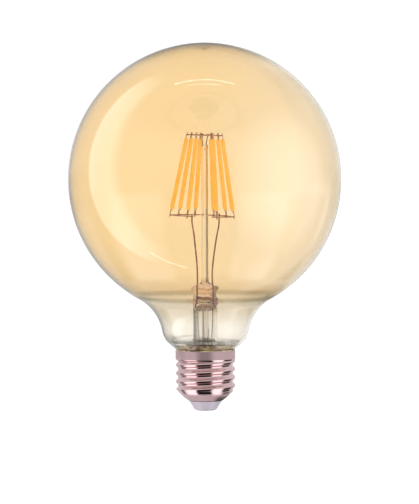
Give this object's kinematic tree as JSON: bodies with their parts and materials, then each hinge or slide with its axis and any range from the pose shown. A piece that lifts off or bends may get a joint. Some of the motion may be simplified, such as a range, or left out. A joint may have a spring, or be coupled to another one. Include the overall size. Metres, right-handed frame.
{
  "type": "smart light bulb",
  "caption": "Globe light bulb with amber coated glass, upright filaments in a wire cage on a glass stem, and a metal screw cap that holds the wireless driver.",
  "frame": {"origin": "centre of the outer face of the contact under the cap", "axes": "+Z along the bulb's axis from the contact to the top of the globe, +X to the right of the view and -Y towards the viewer"},
  "size_m": [0.12, 0.12, 0.1615],
  "materials": {
    "amber_glass": "polished, with a thin amber coating",
    "clear_glass": "fire polished",
    "copper_clad_wire": "oxide red",
    "lead_wire": "copper coloured, drawn",
    "frame_wire": "copper coloured, drawn",
    "phosphor_silicone": "satin",
    "filament_carrier": "matte",
    "filament_tab": "plated",
    "led_chip": "polished",
    "nickel_shell": "nickel plated, bright",
    "insulator": "smooth",
    "contact_metal": "nickel plated, dull",
    "base_cement": "rough",
    "liner_film": "matte",
    "circuit_board": "solder mask",
    "chip_package": "moulded",
    "capacitor_can": "sleeved",
    "ferrite_core": "matte",
    "film_capacitor": "dipped",
    "resistor_body": "lacquered",
    "wireless_board": "solder mask",
    "shield_can": "tin plated",
    "tinned_wire": "tinned"
  },
  "bodies": {
    "root": {"glass_globe": "amber_glass", "stem_tube": "clear_glass", "exhaust_tube": "clear_glass", "support_rod": "clear_glass", "dumet_seal_left": "copper_clad_wire", "dumet_seal_right": "copper_clad_wire", "inner_lead_left": "lead_wire", "inner_lead_right": "lead_wire", "outer_lead_left": "tinned_wire", "outer_lead_right": "tinned_wire", "rod_anchor_front": "frame_wire", "rod_anchor_back": "frame_wire", "top_frame": "frame_wire", "lower_frame_left": "frame_wire", "lower_frame_right": "frame_wire", "led_chips": "led_chip", "filament_coat_1": "phosphor_silicone", "filament_coat_2": "phosphor_silicone", "filament_coat_3": "phosphor_silicone", "filament_coat_4": "phosphor_silicone", "filament_coat_5": "phosphor_silicone", "filament_coat_6": "phosphor_silicone", "filament_coat_7": "phosphor_silicone", "filament_coat_8": "phosphor_silicone", "filament_strip_1": "filament_carrier", "filament_strip_2": "filament_carrier", "filament_strip_3": "filament_carrier", "filament_strip_4": "filament_carrier", "filament_strip_5": "filament_carrier", "filament_strip_6": "filament_carrier", "filament_strip_7": "filament_carrier", "filament_strip_8": "filament_carrier", "filament_tabs_1": "filament_tab", "filament_tabs_2": "filament_tab", "filament_tabs_3": "filament_tab", "filament_tabs_4": "filament_tab", "filament_tabs_5": "filament_tab", "filament_tabs_6": "filament_tab", "filament_tabs_7": "filament_tab", "filament_tabs_8": "filament_tab", "screw_shell": "nickel_shell", "cap_insulator": "insulator", "centre_contact": "contact_metal", "base_cement": "base_cement", "insulating_liner": "liner_film", "driver_board": "circuit_board", "bridge_rectifier": "chip_package", "smoothing_capacitor": "capacitor_can", "filter_inductor": "ferrite_core", "film_capacitor": "film_capacitor", "fusible_resistor": "resistor_body", "driver_chip": "chip_package", "board_resistors": "chip_package", "wireless_board": "wireless_board", "wireless_shield": "shield_can", "antenna_wire": "tinned_wire", "centre_wire": "tinned_wire", "side_wire": "tinned_wire"}
  },
  "joints": []
}
